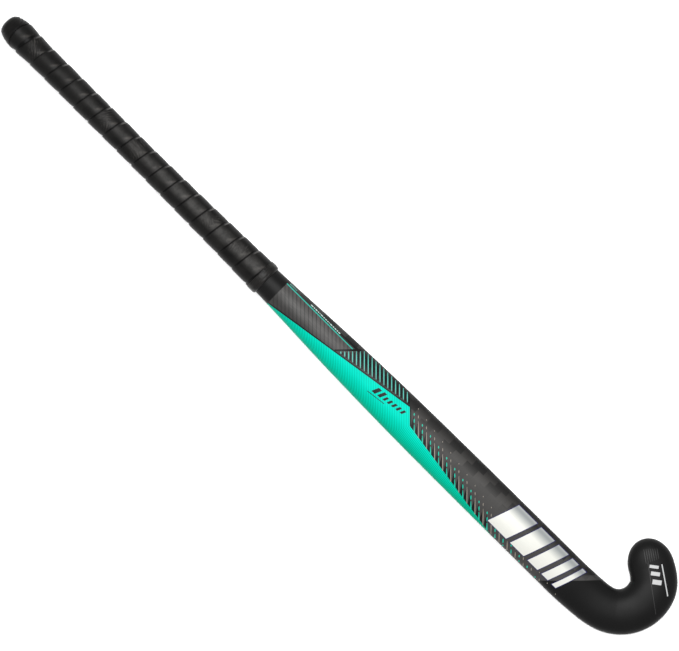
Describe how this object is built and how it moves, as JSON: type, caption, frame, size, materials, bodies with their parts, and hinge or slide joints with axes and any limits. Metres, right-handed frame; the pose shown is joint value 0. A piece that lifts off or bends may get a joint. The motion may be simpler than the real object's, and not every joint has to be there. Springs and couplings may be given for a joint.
{
  "type": "field hockey stick",
  "caption": "Hollow composite field hockey stick with a bowed shaft, hooked head with one flat face, wound cushion grip and butt cap.",
  "frame": {"origin": "on the surface that the stick lies on, under the middle of its bounding box, with the flat playing face down", "axes": "+X along the shaft from the butt to the head, +Y towards the toe of the hook, +Z from the flat playing face to the rounded back"},
  "size_m": [0.9274, 0.1212, 0.0441],
  "materials": {
    "lacquered_laminate": "satin lacquer over woven carbon, with printed teal and grey graphics",
    "bare_laminate": "bare moulded fibre and resin",
    "nylon_film": "thin translucent film",
    "fibre_cord": "resin-soaked fibre",
    "syntactic_foam": "rigid closed-cell foam",
    "soft_foam": "soft open-cell foam",
    "moulded_plug": "fine matte moulding",
    "grip_polyurethane": "tacky cushioned polyurethane with a light sheen",
    "vinyl_tape": "satin stretched vinyl"
  },
  "bodies": {
    "root": {"composite_shell": "lacquered_laminate", "inner_tube_toe_side": "bare_laminate", "inner_tube_heel_side": "bare_laminate", "bladder_toe_side": "nylon_film", "bladder_heel_side": "nylon_film", "rib_filler_back": "fibre_cord", "rib_filler_face": "fibre_cord", "head_core": "syntactic_foam", "foam_bung_toe_side": "soft_foam", "foam_bung_heel_side": "soft_foam", "butt_plug": "moulded_plug", "butt_cap": "grip_polyurethane", "grip_tape": "grip_polyurethane", "finish_tape": "vinyl_tape"}
  },
  "joints": []
}
